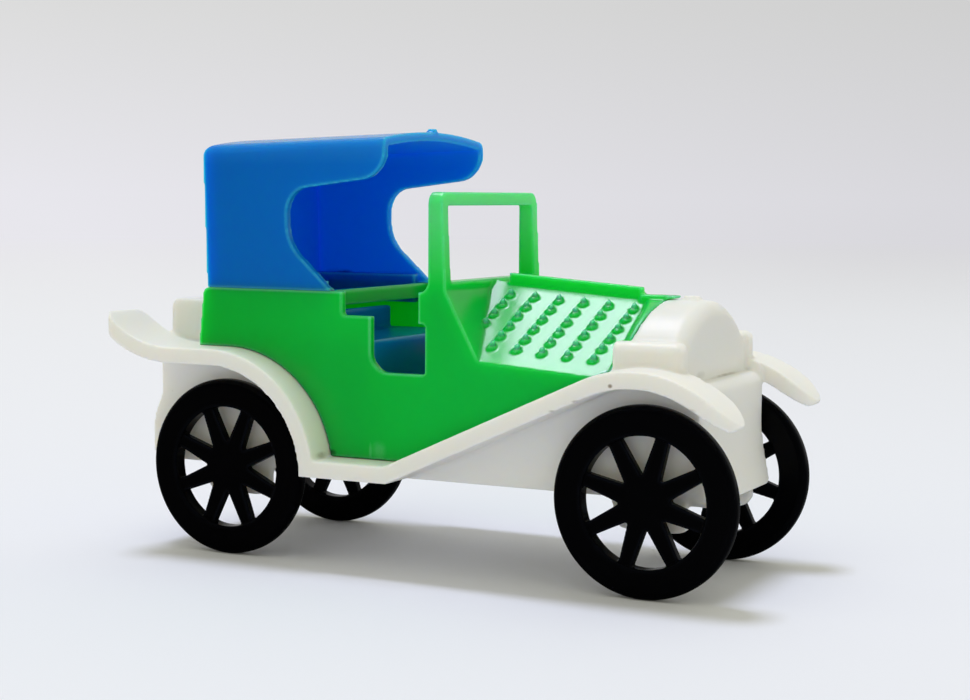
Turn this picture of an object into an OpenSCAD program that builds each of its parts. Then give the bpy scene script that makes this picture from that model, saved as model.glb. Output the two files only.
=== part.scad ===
// Toy vintage car: ivory chassis, green body, blue hood and seat, black spoked wheels.
// Millimetres. The bonnet points to +X, +Z is up, the ground is z = 0.

/* [Wheels] */
// Diameter of a wheel over the tread
wheel_d = 24; // [22:0.5:25]
// Distance between the two axles
wheelbase = 61; // [58:0.5:66]
// Distance between the mid planes of a left and a right wheel
wheel_track = 28.2; // [25:0.2:31]
// Width of the rim across the tread
wheel_w = 2.4; // [2:0.1:2.8]
// Depth of the rim from the tread to the openings
rim_depth = 3.8; // [3:0.1:4.6]
// Rounding of the tread shoulders
tread_round = 0.9; // [0.4:0.1:0.95]
// Number of spokes
spoke_count = 8; // [6:1:10]
// Width of one spoke, drawn in to the wheel centre
spoke_w = 2.8; // [2.2:0.1:3.2]
// Width of one spoke at the rim
spoke_tip = 1.7; // [1.3:0.05:2.2]
// Thickness of the spokes along the axle
spoke_t = 1.3; // [1.2:0.1:1.8]
// Diameter of the hub boss behind the spokes
hub_d = 5.2; // [4:0.2:6]
// Turn of the front wheels against the rear ones, degrees
front_turn = 6; // [0:1:44]

/* [Axles] */
// Diameter of both axle rods
axle_d = 2.2; // [1.6:0.1:2.6]
// Radial running clearance of an axle in its lugs
axle_play = 0.08; // [0.04:0.01:0.1]
// Radial grip of a wheel on its axle
wheel_grip = 0.02; // [0.01:0.01:0.04]
// Material left over the blind end of a wheel bore
hub_cap = 0.6; // [0.4:0.1:0.9]
// Side gap between a wheel hub and the chassis lug
hub_gap = 0.3; // [0.2:0.05:0.5]
// Side gap between a wheel rim and the chassis box
rim_gap = 0.9; // [0.7:0.1:1.6]

/* [Fenders] */
// Overall width over the fenders
car_w = 38; // [35:0.5:42]
// Thickness of the fenders and running boards
fender_t = 2.2; // [1.6:0.1:2.6]
// Gap between the tread and the fender
wheel_gap = 2.2; // [1.6:0.1:3]
// Height of the running board top above the axles
board_up = 2.45; // [2.3:0.05:3]
// Distance from the front axle back to the foot of the front fender slope
slope_run = 34.1; // [31:0.1:38]
// Level part of the rear fender behind the rear axle
tail_level = 7; // [5:0.1:8]
// Radius of the upswept fender tail
tail_r = 13.8; // [11:0.2:17]
// Reach of the tails behind the rear axle
tail_reach = 17.3; // [15.5:0.1:19]
// Width of one tail
tail_w = 9; // [7.2:0.1:9.2]
// Angle above level at which the front fender tips end
tip_angle = 38.5; // [36:0.5:48]
// Width of one front fender tip
tip_w = 7; // [5.5:0.1:7]
// Thickness of a front fender at its tip
tip_t = 1.1; // [0.7:0.1:1.8]
// Angle over which a front fender thins to its tip
tip_taper = 22; // [10:1:30]

/* [Chassis] */
// Wall thickness of the chassis
chassis_wall = 1.2; // [0.9:0.1:1.6]
// Height of the bottom edge of the box walls
skirt_z = 12; // [11:0.1:12.6]
// Front panel ahead of the front axle
panel_ahead = 6.1; // [5.6:0.1:6.6]
// Forward flare of the front panel at its foot
panel_flare = 1.4; // [0:0.1:2]
// Height of the foot of the front panel
panel_foot = 11.3; // [10.4:0.1:12]
// Rounding of the lower corners of the front panel
panel_round = 1.4; // [0.6:0.1:2]
// Rear panel behind the rear axle
rear_behind = 12.9; // [12.2:0.1:13.6]
// Rearward bulge of the rear panel at its foot
rear_bulge = 1.5; // [0:0.1:2]
// Width of an axle lug
lug_w = 10.4; // [8:0.2:12]
// Depth of an axle lug below the axle
lug_drop = 4; // [3:0.1:5]
// Rounding of the lower lug corners
lug_round = 2; // [0.8:0.1:2.6]
// Length of the bearing boss inside each wall
boss_len = 2.2; // [1:0.1:4]

/* [Nose] */
// Width of the radiator nose
nose_w = 26.2; // [25:0.2:27]
// Radius of the arched nose top
nose_r = 15.5; // [14:0.1:18]
// Height of the top of the nose
nose_top = 36; // [35.6:0.1:36.4]
// Nose front face ahead of the front axle
nose_ahead = 3.8; // [3.2:0.1:4.2]
// Rounding of the upright front edges of the nose
nose_round = 1.8; // [1.5:0.1:2.4]
// Rounding of the arched front edge of the nose
nose_brow = 1.8; // [1.3:0.1:2.6]
// Wall thickness of the nose
nose_wall = 1.1; // [0.8:0.1:1.5]
// Height of the ledge under the nose face
ledge_z = 26.2; // [25.8:0.1:27]
// Rounding of the front edge of the ledge
ledge_round = 1.6; // [0.4:0.1:2]
// Distance from the bonnet front to the joint of nose and body
joint_ahead = 1.5; // [1.2:0.1:1.8]
// Forward lean of that joint, per unit of height
joint_lean = 0.18; // [0:0.02:0.24]
// Distance of the filler cap behind the nose face
cap_back = 3.3; // [2.8:0.1:4]
// Diameter of the filler cap on the nose
cap_d = 2.2; // [1.6:0.1:3]
// Height of the filler cap
cap_h = 0.5; // [0.3:0.1:1]
// Width of a headlamp block
lamp_d = 3.6; // [3.2:0.1:4]
// Distance between the headlamp centre lines
lamp_spread = 24.4; // [24:0.2:26]
// Height of the headlamp centres above the fender tops
lamp_up = 1.2; // [0.9:0.1:1.6]
// Length of a headlamp
lamp_len = 9; // [7:0.1:9.1]
// Headlamp front end ahead of the front axle
lamp_ahead = 4.3; // [4.2:0.1:5]
// Rounding of the headlamp edges
lamp_round = 1.2; // [0.6:0.1:1.5]

/* [Trunk] */
// Width of the trunk
trunk_w = 19.8; // [16:0.2:19.9]
// Height of the trunk above the fender level
trunk_h = 6; // [5:0.1:7]
// Rounding of the trunk edges
trunk_round = 1.4; // [0.8:0.1:2]
// Wall thickness of the trunk
trunk_wall = 1.2; // [0.9:0.1:1.6]

/* [Body] */
// Width of the body
body_w = 28.4; // [27:0.2:30]
// Wall thickness of the body
body_wall = 1.2; // [0.9:0.1:1.5]
// Height of the tub rim
tub_top = 36.4; // [35.6:0.1:37]
// Body back behind the rear axle
body_behind = 4.8; // [4.2:0.1:5.4]
// Forward lean of the body back
back_lean = 0.6; // [0:0.1:1]
// Width of the bar across the tub
bar_w = 1.2; // [0.8:0.1:2]
// Depth of the bar across the tub
bar_h = 2.1; // [1.4:0.1:2.6]
// Rear face of the dash behind the middle of the wheelbase
dash_back = 1.1; // [0.4:0.1:2]
// Rear face of the dash to the front face of the bar
cabin_len = 13.6; // [12.8:0.1:14.4]
// Front edge of the door opening ahead of the dash
door_ahead = 1; // [0.6:0.1:1.2]
// Length of the door opening
door_len = 8.1; // [6:0.1:9]
// Height of the door sill
door_sill = 26; // [25:0.1:28]
// Height of the door ledge
door_ledge = 33.3; // [32.8:0.1:34]
// Length of the door ledge
ledge_len = 4.3; // [3:0.1:4.6]
// Rounding of the lower rear door corner
door_round = 2.7; // [1:0.1:3.4]

/* [Windscreen] */
// Rear face of the windscreen ahead of the dash
post_ahead = 1.4; // [1.2:0.1:2]
// Height of the windscreen opening bottom
sill_z = 38; // [37.6:0.1:38.6]
// Height of the windscreen top
screen_top = 49.5; // [46:0.1:52]
// Width of the windscreen posts and top rail
post_w = 1.75; // [1.2:0.05:2.4]
// Thickness of the frame at its top
post_t = 2; // [1.4:0.1:2.4]
// Extra thickness of the frame at its foot
post_flare = 0.6; // [0:0.1:1]
// Rounding of the top frame corners
post_round = 1.5; // [0.6:0.1:2.4]

/* [Bonnet] */
// Height of the bonnet ridge at its middle
ridge_z = 37.05; // [36.8:0.05:37.4]
// Height of the side crease at the bonnet middle
crease_z = 27.6; // [26:0.1:29]
// Nose-down tilt of the bonnet, degrees
bonnet_tilt = 4.2; // [3:0.1:5]
// Bonnet front behind the front axle
bonnet_back = 5; // [4.8:0.1:5.6]
// Forward run of the cowl from the windscreen to the crease
cowl_run = 5.2; // [4:0.1:6]
// Width of the hinge rib on the ridge
rib_w = 1.2; // [0.8:0.1:2]
// Height of the hinge rib
rib_h = 1.15; // [0.5:0.05:1.5]
// Reach of the ridge tongue over the nose, from the bonnet front
tongue_len = 3.5; // [3:0.1:4]
// Thickness of the ridge tongue
tongue_t = 0.45; // [0.35:0.05:0.6]
// Gap between the body collar and the nose
collar_gap = 0.1; // [0.05:0.05:0.2]

/* [Studs] */
// Rows of studs on each bonnet panel, from the ridge down
stud_rows = 6; // [3:1:6]
// Studs in one row
stud_cols = 6; // [3:1:6]
// Distance between the rows, seen from above
stud_row_step = 1.8; // [1.4:0.05:2]
// Distance between the studs of a row
stud_col_step = 3.52; // [2.4:0.02:3.6]
// Distance of the first row from the ridge, seen from above
stud_first = 2.7; // [2:0.1:3]
// Distance of the last column behind the bonnet front
stud_back = 1.3; // [1:0.1:2.4]
// Rearward shift from one row to the next
stud_shift = 0.25; // [0:0.05:0.4]
// Diameter of the round end of a stud
stud_d = 1; // [0.6:0.05:1.2]
// Length of a stud over its point
stud_len = 1.4; // [0.8:0.05:1.6]
// Height of a stud over the panel
stud_h = 0.4; // [0.2:0.05:0.6]

/* [Hood] */
// Wall thickness of the hood
hood_wall = 1.2; // [0.9:0.1:1.5]
// Height of the hood side edge at the back
hood_top = 55.5; // [53:0.1:58]
// Rise of the roof from the sides to the middle
hood_crown = 1.1; // [0.4:0.1:2]
// Nose-up tilt of the roof, degrees
hood_tilt = 1.9; // [0:0.1:3]
// Length of the hood
hood_len = 28.5; // [25:0.1:30]
// Inset of the hood back from the body back
hood_inset = 0.7; // [0.6:0.1:1.4]
// Rounding of the long roof edges
hood_edge = 1.3; // [1.25:0.05:2]
// Rounding of the top back edge
hood_round = 1.4; // [1.3:0.1:3]
// Height of the side cut-out top at its back corner
cut_top = 50; // [48:0.1:51]
// Rise of the cut-out top towards the front
cut_rise = 1; // [0:0.1:2]
// Distance of the cut-out back edge from the hood front
cut_deep = 15; // [12:0.1:15.6]
// Height where the slanted cut-out edge starts
cut_low = 45.3; // [43.6:0.1:46]
// Slant of the lower cut-out edge, degrees
cut_slant = 42; // [36:1:50]
// Rounding of the upper back corner of the cut-out
cut_bend = 3.3; // [1:0.1:4]
// Rounding between the upright and the slanted cut-out edge
cut_knee = 6; // [2:0.1:7]
// Rounding of the lower front corner of the roof sides
cut_round = 4; // [2:0.1:5]
// Depth of the plug skirt in the tub
skirt_depth = 2.8; // [1.5:0.1:3]
// Side clearance of the plug skirt
skirt_gap = 0.1; // [0.05:0.05:0.2]

/* [Seat] */
// Height of the cushion top
seat_z = 30; // [28:0.1:31]
// Cushion front behind the dash
seat_gap = 7.4; // [6.6:0.1:8.4]
// Depth of the cushion
seat_deep = 10.4; // [9:0.1:10.8]
// Thickness of the seat moulding
seat_t = 1.2; // [0.9:0.1:1.6]
// Side clearance of the seat in the tub
seat_play = 0.4; // [0.3:0.05:0.8]
// Width of the seat back
back_w = 20; // [16:0.2:24]
// Height of the top of the seat back
back_z = 33.2; // [32:0.1:33.5]

/* [Hidden] */
$fn = 64;
fx = wheelbase / 2;
rx = -wheelbase / 2;
az = wheel_d / 2;
ro = az + wheel_gap + fender_t;
ri = az + wheel_gap;
arch_top = az + ro;
board_z = az + board_up;
foot_x = fx - slope_run;
slope = atan2(-board_up, slope_run) + asin(ro / norm([slope_run, board_up]));
tail_x = rx - tail_level;
x_min = rx - tail_reach;
x_max = fx + ro * cos(tip_angle);
shift = -(x_min + x_max) / 2;
panel_x = fx + panel_ahead;
rear_x = rx - rear_behind;
nose_x = fx + nose_ahead;
axle_r = axle_d / 2;
wheel_y = wheel_track / 2;
box_w = wheel_track - wheel_w - 2 * rim_gap;
body_x = rx - body_behind;
bonnet_x = fx - bonnet_back;
dash_x = -dash_back;
bar_x = dash_x - cabin_len;
door_x = dash_x + door_ahead;
post_x = dash_x + post_ahead;
cowl_x = post_x + post_t;
hood_x = body_x + hood_inset;
hood_front = hood_x + hood_len;
roof_r = (pow(body_w / 2, 2) + pow(hood_crown, 2)) / (2 * hood_crown);
roof_z = hood_top + hood_crown - roof_r;
seat_x = dash_x - seat_gap;
ridge_x = (cowl_x + bonnet_x) / 2;
joint_x = bonnet_x + joint_ahead;
joint_z = ledge_z + 4.4;
lamp_gap = lamp_spread - lamp_d - 0.8;

// A side profile in x and z, drawn across the width w
module across(w) {
    translate([0, w / 2, 0])
        rotate([90, 0, 0])
            linear_extrude(w)
                children();
}

// A cross profile in y and z, drawn forward from x over the length l
module along(x, l) {
    translate([x, 0, 0])
        rotate([90, 0, 90])
            linear_extrude(l)
                children();
}

// A plan profile in x and y, drawn up from z over the height h
module upward(z, h) {
    translate([0, 0, z])
        linear_extrude(h)
            children();
}

// A rectangle between two corners
module box2(a, b) {
    translate(a)
        square(b - a);
}

// A rod across the car at the point x, z, from y0 to y1
module rod_y(x, z, r, y0, y1) {
    translate([x, y1, z])
        rotate([90, 0, 0])
            cylinder(h = y1 - y0, r = r);
}

// Everything under the fender line, lowered by d
module under_fenders(d) {
    difference() {
        union() {
            translate([rx, az])
                circle(ro - d, $fn = 128);
            translate([fx, az])
                circle(ro - d, $fn = 128);
            box2([rx, -9], [foot_x + 4, board_z - d]);
            polygon([
                [foot_x + d * tan(slope / 2), board_z - d],
                [fx - (ro - d) * sin(slope), az + (ro - d) * cos(slope)],
                [fx, az],
                [fx, -9],
                [foot_x + d * tan(slope / 2), -9]
            ]);
            box2([tail_x, -9], [rx, arch_top - d]);
            box2([x_min - 9, -9], [tail_x, arch_top + 9]);
        }
        translate([tail_x, arch_top + tail_r])
            circle(tail_r + d, $fn = 128);
        box2([x_min - 12, arch_top + 5], [tail_x, arch_top + 14]);
    }
}

// Side view of the wavy fender and running board strip
module fender_strip() {
    tip_in = ro - fender_t;
    tip_out = ro - tip_t;
    difference() {
        under_fenders(0);
        under_fenders(fender_t);
        box2([x_min - 12, -12], [tail_x - 3, az + 6]);
        box2([tail_x - 3, -12], [fx, az - 1]);
        polygon([
            [fx, az],
            [fx + 40 * cos(tip_angle), az + 40 * sin(tip_angle)],
            [fx + 40, -40],
            [fx, -40]
        ]);
        polygon([
            [fx + tip_in * cos(tip_angle + tip_taper), az + tip_in * sin(tip_angle + tip_taper)],
            [fx + tip_out * cos(tip_angle), az + tip_out * sin(tip_angle)],
            [fx + tip_out * cos(tip_angle) + 1, az + tip_out * sin(tip_angle) - 3],
            [fx + 5, az + 5]
        ]);
    }
}

// Plan of one rounded front fender tip and one rounded tail
module fender_ends() {
    tip_r = tip_w / 2;
    box2([panel_x - 1, car_w / 2 - tip_w], [x_max - tip_r, car_w / 2]);
    translate([x_max - tip_r, car_w / 2 - tip_r])
        circle(tip_r);
    difference() {
        box2([x_min, car_w / 2 - tail_w], [rear_x + 1, car_w / 2]);
        box2([x_min - 1, car_w / 2 - tail_w - 1], [x_min + 2, car_w / 2 - tail_w + 2]);
        box2([x_min - 1, car_w / 2 - 1.4], [x_min + 1.4, car_w / 2 + 1]);
    }
    translate([x_min + 2, car_w / 2 - tail_w + 2])
        circle(2);
    translate([x_min + 1.4, car_w / 2 - 1.4])
        circle(1.4);
}

// Plan outline of the fenders
module fender_plan() {
    box2([rear_x, -car_w / 2], [panel_x, car_w / 2]);
    fender_ends();
    mirror([0, 1])
        fender_ends();
}

// Side view of one axle lug with its rounded corners
module lug(x) {
    z = az - lug_drop;
    w = lug_w / 2;
    difference() {
        box2([x - w - 1.2, skirt_z - 1.2], [x + w + 1.2, skirt_z + 1]);
        translate([x - w - 1.2, skirt_z - 1.2])
            circle(1.2);
        translate([x + w + 1.2, skirt_z - 1.2])
            circle(1.2);
    }
    box2([x - w, z + lug_round], [x + w, skirt_z + 1]);
    box2([x - w + lug_round, z], [x + w - lug_round, skirt_z]);
    for (s = [-1, 1])
        translate([x + s * (w - lug_round), z + lug_round])
            circle(lug_round);
}

// Outline of the box under the floor, drawn in by d at both ends
module box_outline(d) {
    flare_z = panel_foot + 8.7;
    bulge_z = skirt_z + 9;
    front = [for (i = [0 : 12]) let (t = i / 12)
        [panel_x - d + panel_flare * pow(t, 1.6), flare_z - t * (flare_z - panel_foot)]];
    back = [for (i = [0 : 12]) let (t = 1 - i / 12)
        [rear_x + d - rear_bulge * sin(90 * min(1, 1.5 * t)), bulge_z - t * 8]];
    polygon(concat(
        [[rear_x + d, arch_top + 6], [panel_x - d, arch_top + 6]],
        front,
        [[panel_x - d - 2, panel_foot], [panel_x - d - 2, skirt_z], [rear_x + d, skirt_z]],
        back
    ));
}

// Cross section of the nose, smaller by d all round
module nose_section(d) {
    intersection() {
        translate([0, nose_top - nose_r])
            circle(nose_r - d, $fn = 128);
        box2([-nose_w / 2 + d, ledge_z - 4], [nose_w / 2 - d, nose_top]);
    }
}

// Arched nose turned about its level centre line, drawn in by d, with the front edge rounded
module nose_arch(d) {
    x = nose_x - d;
    r = nose_brow - d;
    translate([0, 0, nose_top - nose_r])
        rotate([0, 90, 0])
            rotate_extrude($fn = 128) {
                box2([0, bonnet_x - 4], [nose_r - d, x - r]);
                box2([0, bonnet_x - 4], [nose_r - d - r, x]);
                translate([nose_r - d - r, x - r])
                    circle(r);
            }
}

// Plan of the nose, smaller by d
module nose_plan(d) {
    x = nose_x - d;
    w = nose_w / 2 - d;
    r = nose_round - d;
    box2([bonnet_x - 4, -w], [x - r, w]);
    box2([bonnet_x - 4, -w + r], [x, w - r]);
    for (s = [-1, 1])
        translate([x - r, s * (w - r)])
            circle(r);
}

// The nose as a solid, smaller by d
module nose_solid(d) {
    intersection() {
        nose_arch(d);
        upward(ledge_z - 3, 20)
            nose_plan(d);
    }
}

// Everything behind the slanted joint of nose and body, moved by d
module behind_joint(d) {
    across(50)
        polygon([
            [joint_x + d - joint_lean * 20, joint_z - 20],
            [joint_x + d + joint_lean * 20, joint_z + 20],
            [joint_x + d - 40, joint_z + 20],
            [joint_x + d - 40, joint_z - 20]
        ]);
}

// The nose, a hollow cap open at the bottom and at the back
module nose() {
    difference() {
        nose_solid(0);
        nose_solid(nose_wall);
        behind_joint(0);
        translate([bonnet_x + collar_gap - 9, -nose_w, ledge_z - 9])
            cube([9, 2 * nose_w, 20]);
        translate([0, 0, ledge_z - 4])
            along(bonnet_x - 4, 20)
                box2([-20, -4], [20, 3]);
        for (s = [-1, 1])
            translate([bonnet_x - 4, s * (box_w / 2 + 9.7) - 10, ledge_z - 4])
                cube([20, 20, arch_top - ledge_z + 3]);
    }
}

// Outline of a headlamp block from its base to its rounded end, of half width w
module lamp_outline(base, top, w) {
    r = lamp_round;
    box2([-w, base], [w, top - r]);
    box2([-w + r, base], [w - r, top]);
    for (s = [-1, 1])
        translate([s * (w - r), top - r])
            circle(r);
}

// Headlamp block standing on the fender beside the nose
module lamp(y) {
    x = fx + lamp_ahead;
    top = arch_top + lamp_up + lamp_d / 2;
    translate([0, y, 0])
        intersection() {
            along(x - lamp_len, lamp_len)
                lamp_outline(arch_top - 1, top, lamp_d / 2);
            upward(arch_top - 2, 12)
                rotate(-90)
                    lamp_outline(x - lamp_len, x, lamp_d / 2);
            across(lamp_d + 2)
                union() {
                    box2([x - lamp_len - 1, arch_top - 2], [x - lamp_round, top]);
                    box2([x - lamp_len - 1, arch_top - 2], [x, top - lamp_round]);
                    translate([x - lamp_round, top - lamp_round])
                        circle(lamp_round);
                }
        }
}

// Side view of the space over the ledge in front of the nose
module above_ledge() {
    r = ledge_round;
    box2([nose_x, ledge_z], [nose_x + 9, ledge_z + 9]);
    difference() {
        box2([panel_x - r, ledge_z - r], [panel_x + 1, ledge_z + 1]);
        translate([panel_x - r, ledge_z - r])
            circle(r);
    }
}

// What rounds one lower corner of the front panel
module front_corner() {
    r = panel_round;
    along(panel_x - chassis_wall - 0.5, 6)
        difference() {
            box2([box_w / 2 - r, panel_foot - 1], [box_w / 2 + 1, panel_foot + r]);
            translate([box_w / 2 - r, panel_foot + r])
                circle(r);
        }
}

// The trunk as a solid with rounded top and back edges
module trunk_solid() {
    x0 = rear_x - 0.3;
    x1 = body_x - 0.1;
    z1 = arch_top + trunk_h;
    w = trunk_w / 2;
    r = trunk_round;
    edge = [for (a = [180 : -10 : 90]) [x0 + 0.4 + r + r * cos(a), z1 - r + r * sin(a)]];
    intersection() {
        across(trunk_w)
            polygon(concat(
                [[x1, z1], [x1, arch_top - 1], [x0 + 0.4, arch_top - 1], [x0, arch_top + 0.8]],
                edge
            ));
        upward(arch_top - 2, 20)
            union() {
                box2([x0 + r, -w - 1], [x1 + 1, w + 1]);
                box2([x0 - 1, -w + r], [x1 + 1, w - r]);
                for (t = [-1, 1])
                    translate([x0 + r, t * (w - r)])
                        circle(r);
            }
    }
}

// Room inside the trunk, open downwards
module trunk_room() {
    x0 = rear_x + trunk_wall + 0.3;
    x1 = body_x - 0.1 - trunk_wall;
    w = trunk_w / 2 - trunk_wall;
    translate([x0, -w, arch_top - 6])
        cube([x1 - x0, 2 * w, trunk_h + 6 - trunk_wall]);
}

// Chassis moulding: fenders, boards, box with axle lugs, nose, lamps and trunk
module chassis() {
    color([0.88, 0.86, 0.81])
        translate([shift, 0, 0])
            difference() {
                union() {
                    intersection() {
                        across(car_w)
                            fender_strip();
                        upward(0, 60)
                            fender_plan();
                    }
                    difference() {
                        across(box_w)
                            union() {
                                intersection() {
                                    under_fenders(0);
                                    box_outline(0);
                                }
                                lug(fx);
                                lug(rx);
                            }
                        across(box_w - 2 * chassis_wall)
                            union() {
                                intersection() {
                                    under_fenders(fender_t);
                                    box_outline(chassis_wall);
                                }
                                box2([rear_x + 2, -5], [panel_x - 2, skirt_z + 0.5]);
                                box2([rear_x - rear_bulge + 1.2, -5], [panel_x, panel_foot + 0.5]);
                            }
                    }
                    for (x = [fx, rx])
                        for (s = [-1, 1])
                            rod_y(x, az, axle_r + 1.6,
                                min(s * (box_w / 2 - 0.4), s * (box_w / 2 - chassis_wall - boss_len)),
                                max(s * (box_w / 2 - 0.4), s * (box_w / 2 - chassis_wall - boss_len)));
                    nose();
                    lamp(lamp_spread / 2);
                    lamp(-lamp_spread / 2);
                    translate([nose_x - cap_back, 0, nose_top - 0.6])
                        cylinder(h = cap_h + 0.6, d = cap_d);
                    trunk_solid();
                }
                for (x = [fx, rx])
                    rod_y(x, az, axle_r + axle_play, -box_w, box_w);
                across(box_w - 1)
                    above_ledge();
                front_corner();
                mirror([0, 1, 0])
                    front_corner();
                translate([bonnet_x + 1, -lamp_gap / 2, ledge_z - 4])
                    cube([nose_x - nose_wall - bonnet_x - 1.6, lamp_gap, 8]);
                trunk_room();
                translate([body_x - 2.5, -4.2, arch_top + 2.4])
                    cube([4, 8.4, 1.6]);
            }
}

// Side view of the tub and cowl
module tub_side() {
    corner = [for (a = [180 : -15 : 90])
        [body_x + back_lean + 1 + cos(a), tub_top - 1 + sin(a)]];
    rise = [for (a = [-90 : 15 : 0])
        [dash_x + 1.4 * cos(a), sill_z + 1.4 * sin(a)]];
    polygon(concat(
        [[body_x, board_z - 9], [body_x, arch_top + 1]],
        corner,
        [[dash_x, tub_top], [dash_x, sill_z - 1.4]],
        rise,
        [
            [cowl_x, sill_z],
            [cowl_x + cowl_run, crease_z + 0.7],
            [cowl_x + cowl_run, board_z - 9]
        ]
    ));
}

// The gabled bonnet prism, smaller by d, cut at x0 and x1
module gable(d, x0, x1) {
    drop = d / cos(atan2(ridge_z - crease_z, body_w / 2));
    w = body_w / 2 - d;
    fall = (ridge_z - crease_z) * w / (body_w / 2);
    intersection() {
        translate([ridge_x, 0, ridge_z])
            rotate([0, bonnet_tilt, 0])
                along(-20, 40)
                    polygon([[-w, -30], [-w, -drop - fall], [0, -drop], [w, -drop - fall], [w, -30]]);
        translate([x0, -body_w, 0])
            cube([x1 - x0, 2 * body_w, 60]);
    }
}

// A bar on the bonnet ridge, h tall, from x0 to x1
module ridge_bar(w, h, x0, x1) {
    intersection() {
        translate([ridge_x, 0, ridge_z])
            rotate([0, bonnet_tilt, 0])
                along(-20, 40)
                    box2([-w / 2, -1.4], [w / 2, h]);
        translate([x0, -body_w, 0])
            cube([x1 - x0, 2 * body_w, 60]);
    }
}

// Drop-shaped outline of one stud, its point towards the ridge
module stud_outline() {
    r = stud_d / 2;
    circle(r);
    polygon([[-r, 0], [r, 0], [0, stud_len - r]]);
}

// The studs of the panel on the -Y side
module studs() {
    fall = atan2(ridge_z - crease_z, body_w / 2);
    translate([ridge_x, 0, ridge_z])
        rotate([0, bonnet_tilt, 0])
            rotate([fall, 0, 0])
                for (row = [0 : stud_rows - 1])
                    for (col = [0 : stud_cols - 1])
                        translate([
                            bonnet_x - ridge_x - stud_back - col * stud_col_step - row * stud_shift,
                            -(stud_first + row * stud_row_step) / cos(fall),
                            -0.3
                        ])
                            linear_extrude(stud_h + 0.3)
                                stud_outline();
}

// Side view of the door cut-out
module door_cut() {
    x0 = door_x - door_len;
    box2([x0 - ledge_len, door_ledge], [dash_x, 60]);
    box2([x0, door_sill + door_round], [door_x, door_ledge - 0.8]);
    box2([x0, door_ledge - 0.9], [dash_x, door_ledge + 1]);
    box2([x0 + door_round, door_sill], [door_x, door_sill + door_round + 1]);
    translate([x0 + door_round, door_sill + door_round])
        circle(door_round);
}

// Front view of the windscreen frame
module screen_frame() {
    w = body_w / 2;
    difference() {
        union() {
            box2([-w, sill_z - 2], [w, screen_top - post_round]);
            box2([-w + post_round, sill_z - 2], [w - post_round, screen_top]);
            for (s = [-1, 1])
                translate([s * (w - post_round), screen_top - post_round])
                    circle(post_round);
        }
        box2([-w + post_w, sill_z], [w - post_w, screen_top - post_w]);
    }
}

// Inside of the cowl and of the cabin, seen from the side
module cabin_side() {
    lean = cowl_run / (sill_z - crease_z - 0.7);
    roof = sill_z - body_wall;
    box2([body_x + body_wall + back_lean, 0], [dash_x, 60]);
    polygon([
        [dash_x - 1, 0],
        [dash_x - 1, door_ledge - 0.8],
        [dash_x + body_wall, door_ledge - 0.8],
        [dash_x + body_wall, roof],
        [cowl_x + lean * body_wall - body_wall * 1.15, roof],
        [cowl_x + cowl_run - body_wall * 1.15, crease_z + 0.7],
        [cowl_x + cowl_run - body_wall * 1.15, 0]
    ]);
}

// Collar that leads the gabled bonnet front over to the arched nose
module collar() {
    hull() {
        intersection() {
            gable(0, bonnet_x - 0.4, bonnet_x);
            translate([0, -20, ledge_z - 4])
                cube([40, 40, 20]);
        }
        along(joint_x, 2)
            nose_section(0.1);
    }
}

// Body moulding: tub, cowl, windscreen frame and bonnet
module body() {
    inner_w = body_w - 2 * body_wall;
    color([0.05, 0.6, 0.22])
        translate([shift, 0, 0])
            difference() {
                union() {
                    difference() {
                        union() {
                            across(body_w)
                                tub_side();
                            gable(0, post_x + 1, bonnet_x);
                            ridge_bar(rib_w, rib_h, cowl_x + 3, bonnet_x - 1.2);
                            studs();
                            mirror([0, 1, 0])
                                studs();
                        }
                        across(inner_w)
                            cabin_side();
                        gable(body_wall, post_x + 1.4, bonnet_x - body_wall);
                        across(body_w + 2)
                            door_cut();
                    }
                    difference() {
                        union() {
                            collar();
                            translate([bonnet_x - 1.3, -rib_w, nose_top - 0.9])
                                cube([6, 2 * rib_w, 0.95 + tongue_t]);
                        }
                        along(bonnet_x, 10)
                            nose_section(nose_wall + body_wall + 1.2);
                        difference() {
                            translate([bonnet_x - 5, -20, 0])
                                cube([20, 40, 60]);
                            behind_joint(-collar_gap);
                        }
                    }
                    translate([bonnet_x - 1.3, -rib_w, nose_top + 0.06])
                        cube([tongue_len + 1.3, 2 * rib_w, tongue_t]);
                    translate([bar_x - bar_w, -inner_w / 2 - 0.4, tub_top - bar_h])
                        cube([bar_w, inner_w + 0.8, bar_h]);
                    intersection() {
                        along(post_x - 1, 6)
                            screen_frame();
                        across(body_w + 2)
                            polygon([
                                [post_x, sill_z - 1],
                                [post_x, screen_top],
                                [post_x + post_t, screen_top],
                                [post_x + post_t + post_flare, sill_z - 1]
                            ]);
                    }
                    translate([body_x - 1, -4, arch_top + 2.6])
                        cube([1.8, 8, 1.2]);
                }
                across(body_w + 2)
                    under_fenders(0);
                for (s = [-1, 1])
                    translate([bonnet_x + 0.05, s * (lamp_gap / 2 + 10.2) - 10, ledge_z - 2])
                        cube([12, 20, arch_top + lamp_up + lamp_d / 2 + 0.15 - ledge_z + 2]);
            }
}

// Cross section of the hood under its roof, smaller by d
module hood_section(d) {
    w = body_w / 2 - d;
    r = hood_edge - d;
    edge = roof_z + sqrt(pow(roof_r - d, 2) - pow(w - r, 2)) - r;
    box2([-w + r, 20], [w - r, 70]);
    box2([-w, 20], [w, edge]);
    for (s = [-1, 1])
        translate([s * (w - r), edge])
            circle(r);
}

// The crowned roof block from x0 to x1, turned about the crown axis, smaller by d
module hood_crown_block(d, x1) {
    r = hood_round - d;
    x0 = hood_x + d;
    corner = [for (a = [180 : -10 : 90])
        [roof_r - d - r + r * sin(a), x0 + r + r * cos(a)]];
    translate([0, 0, roof_z])
        rotate([0, 90, 0])
            rotate_extrude($fn = 360)
                polygon(concat([[0, x0]], corner, [[roof_r - d, x1], [0, x1]]));
}

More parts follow.
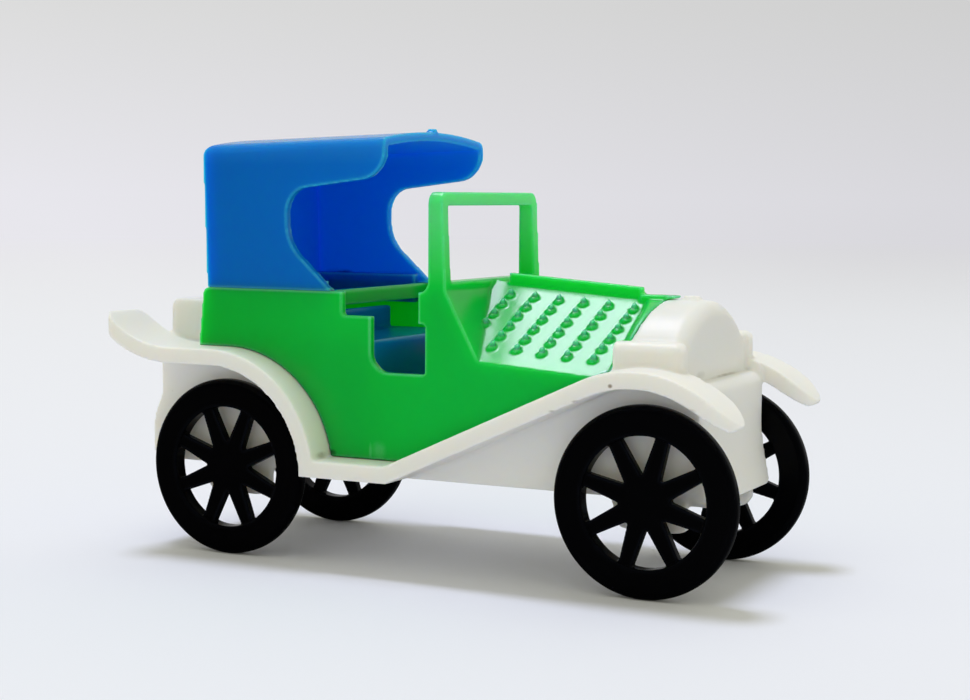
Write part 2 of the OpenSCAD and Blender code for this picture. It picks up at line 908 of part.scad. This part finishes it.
// The hood block, smaller by d, with its front at x1
module hood_block(d, x1) {
    translate([hood_x, 0, hood_top])
        rotate([0, -hood_tilt, 0])
            translate([-hood_x, 0, -hood_top])
                intersection() {
                    along(hood_x - 6, hood_len + 20)
                        hood_section(d);
                    hood_crown_block(d, x1);
                }
}

// Side view of the cut-out under the roof
module hood_cut() {
    back = hood_front - cut_deep;
    top = cut_top + cut_rise;
    lip = [for (a = [0 : -6 : -84])
        [hood_front - cut_round + cut_round * cos(a), top + cut_round + cut_round * sin(a)]];
    bend = [for (a = [96 : 6 : 180])
        [back + cut_bend + cut_bend * cos(a), cut_top - cut_bend + cut_bend * sin(a)]];
    knee = [for (i = [0 : 8]) let (a = 180 + i * (90 - cut_slant) / 8)
        [back + cut_knee + cut_knee * cos(a), cut_low + cut_knee * sin(a)]];
    end = knee[8];
    foot = end[0] + (end[1] - tub_top) / tan(cut_slant);
    polygon(concat(
        [[hood_front + 5, top + cut_round]],
        lip,
        bend,
        knee,
        [[foot, tub_top], [foot, tub_top - 6], [hood_front + 5, tub_top - 6]]
    ));
}

// Hood: an open shell with side cut-outs and a plug skirt
module hood() {
    plug_w = body_w - 2 * body_wall - 2 * skirt_gap;
    plug_x = body_x + body_wall + back_lean + skirt_gap;
    plug_len = bar_x - bar_w - skirt_gap - plug_x;
    color([0.0, 0.33, 0.67])
        translate([shift, 0, 0])
            union() {
                difference() {
                    hood_block(0, hood_front + 4);
                    hood_block(hood_wall, hood_front + 8);
                    translate([hood_x - 9, -body_w, -60])
                        cube([hood_len + 30, 2 * body_w, 60 + tub_top]);
                    translate([hood_front, -body_w, 0])
                        cube([20, 2 * body_w, 90]);
                    across(body_w + 2)
                        hood_cut();
                }
                difference() {
                    union() {
                        translate([plug_x, -plug_w / 2, tub_top - skirt_depth])
                            cube([plug_len, plug_w, skirt_depth + 0.2]);
                        translate([plug_x, -body_w / 2 + 0.4, tub_top])
                            cube([plug_len, body_w - 0.8, 1.2]);
                    }
                    translate([plug_x + 1.2, -plug_w / 2 + 1.2, tub_top - 6])
                        cube([plug_len, plug_w - 2.4, 12]);
                }
                translate([hood_front - 0.7, 0, hood_top + hood_crown])
                    cylinder(h = 1.4, d = 1.3);
            }
}

// Side view of the seat bench
module bench_side(z0) {
    back = seat_x - seat_deep;
    box2([seat_x - seat_t, z0], [seat_x, seat_z]);
    box2([back - seat_t, seat_z - seat_t], [seat_x, seat_z]);
    box2([back - seat_t, seat_z - 4.4], [back, seat_z]);
}

// Seat: a bench standing on the running board level, with a narrower back
module seat() {
    w = body_w - 2 * body_wall - 2 * seat_play;
    back = seat_x - seat_deep;
    color([0.0, 0.28, 0.62])
        translate([shift, 0, 0])
            union() {
                across(w)
                    bench_side(board_z);
                across(back_w)
                    box2([back - seat_t, seat_z - 1], [back, back_z]);
            }
}

// Plain axle rod at x
module axle(x) {
    end = wheel_y + spoke_t / 2 - hub_cap - 0.1;
    color([0.1, 0.1, 0.11])
        translate([shift, 0, 0])
            rod_y(x, az, axle_r, -end, end);
}

// Section of the rounded rim
module rim_section() {
    r0 = az - rim_depth;
    w = wheel_w / 2;
    t = tread_round;
    box2([r0, -w + 0.3], [az - t, w - 0.3]);
    box2([r0 + 0.3, -w], [az - t, w]);
    box2([az - t - 0.5, -w + t], [az, w - t]);
    for (s = [-1, 1]) {
        translate([az - t, s * (w - t)])
            circle(t, $fn = 32);
        translate([r0 + 0.3, s * (w - 0.3)])
            circle(0.3, $fn = 32);
    }
}

// Face of one spoke, wider towards the hub
module spoke_shape() {
    reach = az - rim_depth + 0.6;
    polygon([
        [0, -spoke_w / 2],
        [reach, -spoke_tip / 2],
        [reach, spoke_tip / 2],
        [0, spoke_w / 2]
    ]);
}

// One wheel on the side s of the car, turned by the angle turn
module wheel(x, s, turn) {
    face = spoke_t / 2;
    inner = wheel_y - box_w / 2 - hub_gap;
    color([0.06, 0.06, 0.07])
        translate([x + shift, s * wheel_y, az])
            rotate([-90 * s, 0, 0])
                rotate([0, 0, -turn * s])
                    difference() {
                        union() {
                            rotate_extrude($fn = 128)
                                rim_section();
                            for (i = [0 : spoke_count - 1])
                                rotate([0, 0, (i + 0.5) * 360 / spoke_count + 90])
                                    translate([0, 0, -face])
                                        linear_extrude(spoke_t)
                                            spoke_shape();
                            translate([0, 0, -inner])
                                cylinder(h = inner + face, d = hub_d);
                        }
                        translate([0, 0, -inner - 1])
                            cylinder(h = inner + 1 + face - hub_cap, r = axle_r - wheel_grip);
                    }
}

module front_axle() {
    axle(fx);
}

module rear_axle() {
    axle(rx);
}

module wheel_front_left() {
    wheel(fx, 1, front_turn);
}

module wheel_front_right() {
    wheel(fx, -1, front_turn);
}

module wheel_rear_left() {
    wheel(rx, 1, 0);
}

module wheel_rear_right() {
    wheel(rx, -1, 0);
}

chassis();
body();
hood();
seat();
front_axle();
rear_axle();
wheel_front_left();
wheel_front_right();
wheel_rear_left();
wheel_rear_right();
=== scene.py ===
import math
import bmesh
import bpy
from mathutils import Matrix, Vector


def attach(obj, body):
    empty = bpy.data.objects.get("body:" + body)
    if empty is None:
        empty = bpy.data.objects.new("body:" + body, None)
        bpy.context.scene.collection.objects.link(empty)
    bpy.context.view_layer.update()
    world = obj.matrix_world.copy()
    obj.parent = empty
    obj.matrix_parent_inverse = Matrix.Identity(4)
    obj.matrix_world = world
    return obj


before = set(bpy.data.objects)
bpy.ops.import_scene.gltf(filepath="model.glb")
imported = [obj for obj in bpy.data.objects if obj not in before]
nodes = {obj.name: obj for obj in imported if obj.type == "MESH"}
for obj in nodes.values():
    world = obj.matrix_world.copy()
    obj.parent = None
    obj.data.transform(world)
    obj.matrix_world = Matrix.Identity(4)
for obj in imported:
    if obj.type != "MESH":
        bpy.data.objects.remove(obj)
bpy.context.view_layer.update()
scene = bpy.context.scene
scene.view_settings.view_transform = "Standard"
print("frame loaded, nodes:", len(nodes))

mm = 0.001
wheelNames = ("wheel_front_left", "wheel_front_right", "wheel_rear_left", "wheel_rear_right")


# small helpers for shader trees and meshes

colourSockets = (0, 6, 7)  # the factor and the two colours of a Mix node
colourResult = 2


def addNode(tree, kind, **sockets):
    made = tree.nodes.new(kind)
    for name, value in sockets.items():
        made.inputs[name].default_value = value
    return made


def join(tree, source, target):
    tree.links.new(source, target)


def rangeNode(tree, source, span, low=0.0, high=1.0):  # takes the ends of span to low and high
    ends = {"From Min": span[0], "From Max": span[1], "To Min": low, "To Max": high}
    fit = addNode(tree, "ShaderNodeMapRange", **ends)
    join(tree, source, fit.inputs["Value"])
    return fit.outputs["Result"]


def mathNode(tree, kind, first, second):
    made = tree.nodes.new("ShaderNodeMath")
    made.operation = kind
    for slotIndex, value in enumerate((first, second)):
        if isinstance(value, (int, float)):
            made.inputs[slotIndex].default_value = value
        else:
            join(tree, value, made.inputs[slotIndex])
    return made.outputs["Value"]


def vectorNode(tree, kind, first, second=None):
    made = tree.nodes.new("ShaderNodeVectorMath")
    made.operation = kind
    join(tree, first, made.inputs[0])
    if second is not None:
        made.inputs[1].default_value = second
    return made.outputs["Value" if kind in ("LENGTH", "DOT_PRODUCT") else "Vector"]


def mixColour(tree, factor, first, second, blend="MIX"):
    mix = tree.nodes.new("ShaderNodeMix")
    mix.data_type = "RGBA"
    mix.blend_type = blend
    for slotIndex, value in zip(colourSockets, (factor, first, second)):
        socket = mix.inputs[slotIndex]
        if isinstance(value, (int, float)):
            socket.default_value = value
        elif isinstance(value, tuple):
            socket.default_value = (*value, 1.0)
        else:
            join(tree, value, socket)
    return mix.outputs[colourResult]


def mixShader(tree, factor, first, second):
    mix = tree.nodes.new("ShaderNodeMixShader")
    for socket, source in zip(mix.inputs, (factor, first, second)):
        join(tree, source, socket)
    return mix.outputs[0]


def noiseNode(tree, vector, scale, detail, rough=0.55):
    noise = addNode(tree, "ShaderNodeTexNoise", Scale=scale, Detail=detail, Roughness=rough)
    join(tree, vector, noise.inputs["Vector"])
    return noise.outputs["Fac"]


def newMaterial(name):
    material = bpy.data.materials.new(name)
    material.use_nodes = True
    tree = material.node_tree
    spot = tree.nodes.new("ShaderNodeTexCoord").outputs["Object"]
    return material, tree, tree.nodes["Principled BSDF"], spot


def addMesh(name, bm):  # a new object from a finished bmesh
    mesh = bpy.data.meshes.new(name)
    bm.to_mesh(mesh)
    bm.free()
    made = bpy.data.objects.new(name, mesh)
    scene.collection.objects.link(made)
    return made


# moulded plastics: run and thin are stretches of x and z in metres

# per finish: the rim colour is painted on edges as a highlight (as shade on the studs), on thin parts
# high up as a glow, and on worn places; the dirt colour is also painted in corners as shade; the second
# tint is partly painted shading
ivory = {
    "name": "ivoryPlastic", "colour": (0.875, 0.87, 0.857), "tintAndShading": (0.865, 0.85, 0.812),
    "edge": (0.93, 0.925, 0.90), "crestShading": 0.5,
    "dirtAndShade": (0.20, 0.15, 0.09), "crease": 0.45, "specks": 0.5,
    "rough": (0.28, 0.40), "gloss": 0.11,
    "scatter": 0.7, "reach": (1.0, 0.85, 0.65), "depth": 2.0 * mm,
    "run": (0.05, -0.05), "thin": (0.03, 0.04), "paintedGlow": 0.0,
    "spots": (  # centre and reach each way in mm, strength, coat
        ((30.0, -19.0, 26.5), (0.36, 0.4, 0.32), 1.0, "dirtAndShade"),
        ((25.9, -19.0, 24.35), (1.1, 0.4, 0.26), 0.7, "dirtAndShade"),
        ((22.6, -19.0, 23.0), (0.8, 0.4, 0.22), 0.5, "dirtAndShade"),
        ((40.2, -18.8, 24.1), (0.9, 0.5, 0.35), 0.45, "dirtAndShade"),
        ((36.6, -5.6, 27.0), (0.6, 1.8, 0.6), 0.22, "dirtAndShade"),
        # partly dirt, partly a painted shade line along the foot of the nose
        ((36.6, 3.0, 26.25), (0.5, 6.5, 0.3), 0.45, "dirtAndShade"),
        ((-12.0, -16.4, 14.9), (0.7, 1.6, 0.6), 0.45, "dirtAndShade"),
    ),
}
green = {
    "name": "greenPlastic", "colour": (0.0010, 0.47, 0.036), "tintAndShading": (0.0022, 0.64, 0.075),
    "edge": (0.16, 0.80, 0.34), "crestShading": 0.95,
    "dirtAndShade": (0.001, 0.10, 0.02), "crease": 0.8, "specks": 0.3,
    "rough": (0.20, 0.235), "gloss": 0.27,
    "scatter": 1.0, "reach": (0.05, 1.0, 0.25), "depth": 5.0 * mm,
    "run": (-0.03, 0.012), "thin": (0.0375, 0.046), "paintedGlow": 0.65,
    "spots": (
        ((-11.7, -14.2, 15.0), (0.7, 0.5, 0.55), 0.9, "dirtAndShade"),
        ((-4.6, -14.2, 15.8), (1.3, 0.5, 1.4), 0.3, "edge"),
        ((-5.9, -14.2, 15.6), (0.3, 0.5, 1.3), 0.35, "edge"),
    ),
}
blue = {
    "name": "bluePlastic", "colour": (0.0008, 0.145, 0.62), "tintAndShading": (0.0012, 0.175, 0.66),
    "edge": (0.06, 0.45, 0.84), "crestShading": 0.95,
    "dirtAndShade": (0.002, 0.02, 0.08), "crease": 0.5, "specks": 0.35,
    "rough": (0.20, 0.235), "gloss": 0.16,
    "scatter": 1.0, "reach": (0.05, 0.50, 1.0), "depth": 8.0 * mm,
    "run": (-0.03, 0.0), "thin": (0.053, 0.058), "paintedGlow": 0.35,
    "spots": (
        ((-26.2, 13.0, 37.6), (1.6, 0.6, 0.45), 0.8, "dirtAndShade"),
        ((-27.4, 13.0, 37.5), (3.0, 0.6, 0.9), 0.25, "dirtAndShade"),
    ),
}
# the stud green is painted paler than the bonnet green, a painted reflection of the window pane on their
# tops, paler still towards the front; their rims are painted darker, a painted shade
stud = {
    **green, "name": "litStudPlastic", "colour": (0.08, 0.58, 0.27), "tintAndShading": (0.10, 0.62, 0.31),
    "edge": (0.03, 0.44, 0.16), "crestShading": 0.5, "rough": (0.34, 0.46),
    "run": (0.012, 0.013), "paintedGlow": 0.0, "spots": (),
}
cushion = {
    **blue, "name": "cushionPlastic", "colour": (0.0008, 0.19, 0.58), "tintAndShading": (0.0012, 0.22, 0.62),
    "spots": (),
}
black = {
    "name": "blackPlastic", "colour": (0.0006, 0.0006, 0.0009), "tintAndShading": (0.0012, 0.0013, 0.0019),
    # the wheel rims get a painted bluish sheen
    "edge": (0.008, 0.010, 0.017), "crestShading": 0.8,
    "dirtAndShade": (0.03, 0.027, 0.024), "crease": 0.1, "specks": 0.3,
    "rough": (0.18, 0.235), "gloss": 0.035,
    "scatter": 0.0, "reach": (1.0, 1.0, 1.0), "depth": 0.5 * mm,
    "run": (0.0, 0.05), "thin": (0.03, 0.04), "paintedGlow": 0.0, "spots": (),
}
finishes = {
    "chassis": ivory, "body": green, "hood": blue, "seat": cushion,
    "front_axle": black, "rear_axle": black, **dict.fromkeys(wheelNames, black),
}
grain = {  # noise scale, detail and the span of it that counts
    "mottle": (55.0, 4.0, (0.35, 0.68)), "patchy": (900.0, 3.0, (0.3, 0.6)),
    "speckled": (120.0, 2.0, (0.62, 0.68)), "mark": (1.0, 2.0, (0.66, 0.74)),
    "gloss": (140.0, 5.0, (0.3, 0.7)),
}
skin = {  # what all the plastics share
    "runShare": 0.75, "mottleShare": 0.25, "probes": 8,
    "edgeReach": 0.45 * mm, "edgeSpan": (0.95, 0.60),
    "cornerReach": 0.5 * mm, "cornerSpan": (0.60, 0.25), "patchLow": 0.45, "spotSpan": (0.35, 1.0),
    "speckScale": 210.0, "speckSpan": (0.025, 0.05),
    "markTurns": (0.5, 2.1), "markLean": 0.3, "markScale": (60.0, 1500.0, 1500.0), "worn": 0.03,
    "wave": (260.0, 3.0), "fine": (2200.0, 2.0), "fineShare": 0.10,
    "bump": 0.25, "bumpDepth": 0.05 * mm, "refraction": 1.5,
}


def grainNode(tree, spot, kind, low=0.0, high=1.0):
    scale, detail, span = grain[kind]
    return rangeNode(tree, noiseNode(tree, spot, scale, detail), span, low, high)


def openness(tree, reach, inside):  # 1 where no surface is near, less in corners or inside edges
    probe = addNode(tree, "ShaderNodeAmbientOcclusion", Distance=reach)
    probe.samples = skin["probes"]
    probe.inside = inside
    probe.only_local = inside
    return probe.outputs["AO"]


def baseToneAndShading(tree, spot, finish):  # the colour shifts along the car towards a second tint, partly painted shading, so the green is lighter towards the front; thin parts high up are painted paler, a painted glow as if lit through
    axes = tree.nodes.new("ShaderNodeSeparateXYZ")
    join(tree, spot, axes.inputs[0])
    # partly painted shading along the car: the green is painted lighter towards the front
    run = rangeNode(tree, axes.outputs["X"], finish["run"], 0.0, skin["runShare"])
    mottle = mathNode(tree, "MULTIPLY", grainNode(tree, spot, "mottle"), skin["mottleShare"])
    colour = mixColour(tree, mathNode(tree, "ADD", run, mottle), finish["colour"], finish["tintAndShading"])
    # painted glow: thin parts high up turn paler
    thin = rangeNode(tree, axes.outputs["Z"], finish["thin"], 0.0, finish["paintedGlow"])
    return mixColour(tree, thin, colour, finish["edge"])


def agedAndShadedTone(tree, spot, colour, finish):
    # edges get a painted highlight (a painted shade on the studs), corners get a little painted shade,
    # made patchy like dirt
    rim = openness(tree, skin["edgeReach"], True)
    crestShading = rangeNode(tree, rim, skin["edgeSpan"], 0.0, finish["crestShading"])
    colour = mixColour(tree, crestShading, colour, finish["edge"])
    patchy = grainNode(tree, spot, "patchy", skin["patchLow"])
    # painted shade in corners and creases, made patchy like dirt
    nook = openness(tree, skin["cornerReach"], False)
    cornerShade = rangeNode(tree, nook, skin["cornerSpan"], 0.0, finish["crease"])
    colour = mixColour(tree, mathNode(tree, "MULTIPLY", cornerShade, patchy), colour, finish["dirtAndShade"])

    # the dirt and the rubbed places that show in the photo, and a painted shade line along the foot of
    # the nose
    for centre, span, strength, coat in finish["spots"]:
        offset = vectorNode(tree, "SUBTRACT", spot, Vector(centre) * mm)
        reach = vectorNode(tree, "LENGTH", vectorNode(tree, "DIVIDE", offset, Vector(span) * mm))
        blot = rangeNode(tree, reach, skin["spotSpan"], strength, 0.0)
        colour = mixColour(tree, mathNode(tree, "MULTIPLY", blot, patchy), colour, finish[coat])

    # sparse dirt specks, in some places only
    cells = addNode(tree, "ShaderNodeTexVoronoi", Scale=skin["speckScale"], Randomness=1.0)
    join(tree, spot, cells.inputs["Vector"])
    speck = rangeNode(tree, cells.outputs["Distance"], skin["speckSpan"], 1.0, 0.0)
    dirtAndShade = mathNode(tree, "MULTIPLY", speck, grainNode(tree, spot, "speckled"))
    dirtAndShade = mathNode(tree, "MULTIPLY", dirtAndShade, finish["specks"])
    return mixColour(tree, dirtAndShade, colour, finish["dirtAndShade"])


def wornGloss(tree, spot, finish):  # handling marks: stretched noise in two directions
    marks = 0.0
    for turn in skin["markTurns"]:
        lean = (skin["markLean"], turn, turn)
        stretch = addNode(tree, "ShaderNodeMapping", Rotation=lean, Scale=skin["markScale"])
        join(tree, spot, stretch.inputs["Vector"])
        line = grainNode(tree, stretch.outputs["Vector"], "mark")
        marks = mathNode(tree, "MAXIMUM", marks, line)
    worn = mathNode(tree, "MULTIPLY", marks, skin["worn"])
    return mathNode(tree, "ADD", grainNode(tree, spot, "gloss", *finish["rough"]), worn)


def faintWaves(tree, spot):  # the mould leaves a faint waviness
    wave = noiseNode(tree, spot, *skin["wave"])
    fine = mathNode(tree, "MULTIPLY", noiseNode(tree, spot, *skin["fine"]), skin["fineShare"])
    bump = addNode(tree, "ShaderNodeBump", Strength=skin["bump"], Distance=skin["bumpDepth"])
    join(tree, mathNode(tree, "ADD", wave, fine), bump.inputs["Height"])
    return bump.outputs["Normal"]


def mouldedPlastic(finish):
    material, tree, shader, spot = newMaterial(finish["name"])
    colour = agedAndShadedTone(tree, spot, baseToneAndShading(tree, spot, finish), finish)
    join(tree, colour, shader.inputs["Base Color"])
    join(tree, wornGloss(tree, spot, finish), shader.inputs["Roughness"])
    join(tree, faintWaves(tree, spot), shader.inputs["Normal"])
    levels = {
        "IOR": skin["refraction"], "Specular IOR Level": finish["gloss"],
        "Subsurface Weight": finish["scatter"], "Subsurface Radius": finish["reach"],
        "Subsurface Scale": finish["depth"],
    }
    for name, value in levels.items():
        shader.inputs[name].default_value = value
    return material


plastics = {}
for finish in (ivory, green, stud, blue, cushion, black):
    plastics[finish["name"]] = mouldedPlastic(finish)
for nodeName, finish in finishes.items():
    node = nodes[nodeName]
    node.data.materials.clear()
    node.data.materials.append(plastics[finish["name"]])
print("plastics made:", len(plastics))


# softened moulding edges on the CAD pieces

softFactor = 0.5
softMould = {  # voxel, smoothing steps, share of faces kept
    "chassis": (0.25 * mm, 3, 0.34), "body": (0.2 * mm, 3, 0.45), "hood": (0.2 * mm, 3, 0.45),
    "seat": (0.25 * mm, 3, 0.4), **dict.fromkeys(wheelNames, (0.15 * mm, 4, 0.45)),
}


def soften(node, voxel, steps, kept):
    remesh = node.modifiers.new("evenSkin", "REMESH")
    remesh.mode = "VOXEL"
    remesh.voxel_size = voxel
    remesh.use_smooth_shade = True
    smooth = node.modifiers.new("softEdge", "SMOOTH")
    smooth.factor = softFactor
    smooth.iterations = steps
    thin = node.modifiers.new("fewerFaces", "DECIMATE")
    thin.ratio = kept


for nodeName, (voxel, steps, kept) in softMould.items():
    soften(nodes[nodeName], voxel, steps, kept)
print("edges softened:", len(softMould))


# studs on both bonnet panels

studs = {  # tilt in degrees, columns, rows, drift and shift in mm
    "ridge": Vector((16.43, 0.0, 37.05)) * mm, "tilt": 4.2, "fall": 9.45 / 14.2,
    "columns": (6.6, 10.1, 13.6, 17.1, 20.6, 24.2), "rows": (2.7, 4.5, 6.3, 8.1, 9.9, 11.7),
    "drift": -0.245, "shift": 2.2326,
    "radius": 0.58 * mm, "point": 0.97 * mm, "taper": 0.35, "top": 0.5, "height": 0.85 * mm,
    "sides": 16, "sink": 0.15 * mm, "round": 0.16 * mm, "roundSteps": 3, "roundProfile": 0.5,
}
studSlope = math.atan(studs["fall"])


def oneStud(bm):  # a drop that narrows straight up, as the mould opens
    made = bmesh.ops.create_circle(bm, cap_ends=True, segments=studs["sides"], radius=studs["radius"])
    outline = made["verts"]
    for vert in outline:
        if vert.co.y > 0:
            along = vert.co.y / studs["radius"]
            vert.co.x *= 1.0 - studs["taper"] * along
            vert.co.y = along * studs["point"]
    foot = outline[0].link_faces[0]
    raised = bmesh.ops.extrude_face_region(bm, geom=[foot])["geom"]
    crown = [item for item in raised if isinstance(item, bmesh.types.BMVert)]
    bmesh.ops.scale(bm, vec=(studs["top"], studs["top"], 1.0), verts=crown)
    rise = Vector((0.0, math.sin(studSlope), math.cos(studSlope))) * studs["height"]
    bmesh.ops.translate(bm, vec=rise, verts=crown)
    bmesh.ops.translate(bm, vec=(0.0, 0.0, -studs["sink"]), verts=outline)
    edges = [item for item in raised if isinstance(item, bmesh.types.BMEdge)]
    bmesh.ops.bevel(bm, geom=edges, offset=studs["round"], segments=studs["roundSteps"],
                    profile=studs["roundProfile"], affect="EDGES", material=-1)
    bmesh.ops.recalc_face_normals(bm, faces=bm.faces)


def bonnetStuds():
    single = bmesh.new()
    oneStud(single)
    shape = bpy.data.meshes.new("stud")
    single.to_mesh(shape)
    single.free()
    bm = bmesh.new()
    tilt = Matrix.Rotation(math.radians(studs["tilt"]), 4, "Y")
    turn = Matrix.Rotation(-studSlope, 4, "X") @ Matrix.Rotation(math.pi, 4, "Z")
    for column in studs["columns"]:
        for step, row in enumerate(studs["rows"]):
            x = (column + studs["drift"] * step + studs["shift"]) * mm
            y = row * mm
            before = len(bm.verts)
            bm.from_mesh(shape)
            bm.verts.ensure_lookup_table()
            lay = Matrix.Translation((x - studs["ridge"].x, y, -y * studs["fall"]))
            bmesh.ops.transform(bm, matrix=tilt @ lay @ turn, verts=bm.verts[before:])
    bpy.data.meshes.remove(shape)
    bmesh.ops.mirror(bm, geom=bm.verts[:] + bm.edges[:] + bm.faces[:], axis="Y", merge_dist=0.0)
    bmesh.ops.recalc_face_normals(bm, faces=bm.faces)
    bmesh.ops.translate(bm, vec=studs["ridge"], verts=bm.verts)
    piece = addMesh("bonnetStuds", bm)
    for polygon in piece.data.polygons:
        polygon.use_smooth = True
    piece.data.materials.append(plastics["litStudPlastic"])
    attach(piece, "car")


bonnetStuds()
print("bonnet studs set:", 2 * len(studs["columns"]) * len(studs["rows"]))


# floor, light and camera

backdrop = {  # fade is in roots of metres, haze in metres
    "near": (0.845, 0.858, 0.955), "left": (0.805, 0.798, 0.845), "right": (0.695, 0.690, 0.725),
    "topLeft": (0.716, 0.716, 0.716), "topRight": (0.631, 0.631, 0.631), "lift": (0.0, 0.1),
    "across": (0.8926, 0.4509, 0.0), "spread": 0.25,
    "size": 9.0, "fadePower": 0.5, "fade": (0.2, 1.25), "haze": (0.5, 1.8),
    "rough": 0.85, "gloss": 0.1, "inGloss": 0.2,
}


def sideways(tree, way):  # 0 on the left of the photo, 1 on the right
    across = vectorNode(tree, "DOT_PRODUCT", way, backdrop["across"])
    return rangeNode(tree, across, (-backdrop["spread"], backdrop["spread"]))


def paleFloor():
    bm = bmesh.new()
    bmesh.ops.create_grid(bm, x_segments=1, y_segments=1, size=backdrop["size"])
    floor = addMesh("floor", bm)
    material, tree, shader, spot = newMaterial("paleFloor")
    reach = vectorNode(tree, "LENGTH", spot)
    unit = vectorNode(tree, "NORMALIZE", spot)
    horizon = mixColour(tree, sideways(tree, unit), backdrop["left"], backdrop["right"])
    away = rangeNode(tree, mathNode(tree, "POWER", reach, backdrop["fadePower"]), backdrop["fade"])
    paper = mixColour(tree, away, backdrop["near"], horizon)
    ray = tree.nodes.new("ShaderNodeLightPath")
    dimmed = mixColour(tree, backdrop["inGloss"], (0.0, 0.0, 0.0), paper)
    seen = mixColour(tree, ray.outputs["Is Glossy Ray"], paper, dimmed)
    join(tree, seen, shader.inputs["Base Color"])
    shader.inputs["Roughness"].default_value = backdrop["rough"]
    shader.inputs["Specular IOR Level"].default_value = backdrop["gloss"]
    haze = tree.nodes.new("ShaderNodeEmission")  # the far floor runs into the backdrop without a line
    join(tree, horizon, haze.inputs["Color"])
    far = rangeNode(tree, reach, backdrop["haze"])
    hazy = mathNode(tree, "MULTIPLY", far, ray.outputs["Is Camera Ray"])
    surface = mixShader(tree, hazy, shader.outputs[0], haze.outputs[0])
    join(tree, surface, tree.nodes["Material Output"].inputs["Surface"])
    floor.data.materials.append(material)


studio = {  # angles in degrees, behind is a span of the y direction
    "key": 1.18, "keyFrom": (-0.186, 0.078, 0.979), "keyAngle": 13.0, "keyColour": (0.90, 0.955, 1.17),
    "window": 1.1, "windowFrom": (-0.345, 0.25, 0.905), "windowAngle": 18.0,
    "windowColour": (0.98, 0.94, 1.22),
    "fill": 0.68, "fillColour": (1.0, 0.985, 0.78), "front": 0.10, "behind": (-0.55, 0.25),
}


def sunLamp(name):
    lamp = bpy.data.lights.new(name, "SUN")
    lamp.energy = studio[name]
    lamp.color = studio[name + "Colour"]
    lamp.angle = math.radians(studio[name + "Angle"])
    sun = bpy.data.objects.new(name, lamp)
    sun.rotation_mode = "QUATERNION"
    sun.rotation_quaternion = Vector(studio[name + "From"]).to_track_quat("Z", "Y")
    scene.collection.objects.link(sun)
    return sun


def backgroundNode(tree, colour):
    made = tree.nodes.new("ShaderNodeBackground")
    join(tree, colour, made.inputs["Color"])
    return made.outputs[0]


def studioLight():
    sunLamp("key")
    sunLamp("window").visible_diffuse = False  # a pane that only shows in gloss

    world = bpy.data.worlds.new("studio")
    scene.world = world
    world.use_nodes = True
    tree = world.node_tree
    tree.nodes.clear()
    ray = tree.nodes.new("ShaderNodeLightPath")
    way = tree.nodes.new("ShaderNodeTexCoord").outputs["Generated"]
    axes = tree.nodes.new("ShaderNodeSeparateXYZ")
    join(tree, way, axes.inputs[0])
    lift = rangeNode(tree, axes.outputs["Z"], backdrop["lift"])
    side = sideways(tree, way)
    low = mixColour(tree, side, backdrop["left"], backdrop["right"])
    high = mixColour(tree, side, backdrop["topLeft"], backdrop["topRight"])
    wall = mixColour(tree, lift, low, high)
    behind = rangeNode(tree, axes.outputs["Y"], studio["behind"])
    dim = mixColour(tree, behind, (studio["front"],) * 3, (1.0, 1.0, 1.0))
    mirrored = mixColour(tree, 1.0, wall, dim, "MULTIPLY")
    fillColour = (*studio["fillColour"], 1.0)
    fill = addNode(tree, "ShaderNodeBackground", Color=fillColour, Strength=studio["fill"])
    bounced = mathNode(tree, "MAXIMUM", ray.outputs["Is Glossy Ray"], ray.outputs["Is Transmission Ray"])
    sheen = mixShader(tree, bounced, fill.outputs[0], backgroundNode(tree, mirrored))
    seen = mixShader(tree, ray.outputs["Is Camera Ray"], sheen, backgroundNode(tree, wall))
    out = tree.nodes.new("ShaderNodeOutputWorld")
    join(tree, seen, out.inputs["Surface"])


viewpoint = {  # angles in degrees, place and clip in metres, lens and sensor in mm
    "place": (0.11363, -0.2177, 0.0491), "azimuth": 26.8, "down": 4.88, "roll": 0.36,
    "lens": 67.25, "sensor": 36.0, "clip": (0.01, 30.0),
}


def photoCamera():
    lens = bpy.data.cameras.new("camera")
    lens.sensor_width = viewpoint["sensor"]
    lens.lens = viewpoint["lens"]
    lens.clip_start, lens.clip_end = viewpoint["clip"]
    camera = bpy.data.objects.new("camera", lens)
    turn, down, roll = (math.radians(viewpoint[name]) for name in ("azimuth", "down", "roll"))
    back = Vector((math.sin(turn) * math.cos(down), -math.cos(turn) * math.cos(down), math.sin(down)))
    right = Vector((math.cos(turn), math.sin(turn), 0.0))
    up = back.cross(right)
    tiltRight = right * math.cos(roll) + up * math.sin(roll)
    tiltUp = up * math.cos(roll) - right * math.sin(roll)
    pose = Matrix((tiltRight, tiltUp, back)).transposed().to_4x4()
    pose.translation = viewpoint["place"]
    camera.matrix_world = pose
    scene.collection.objects.link(camera)
    scene.camera = camera


paleFloor()
studioLight()
photoCamera()
print("floor, light and camera set")
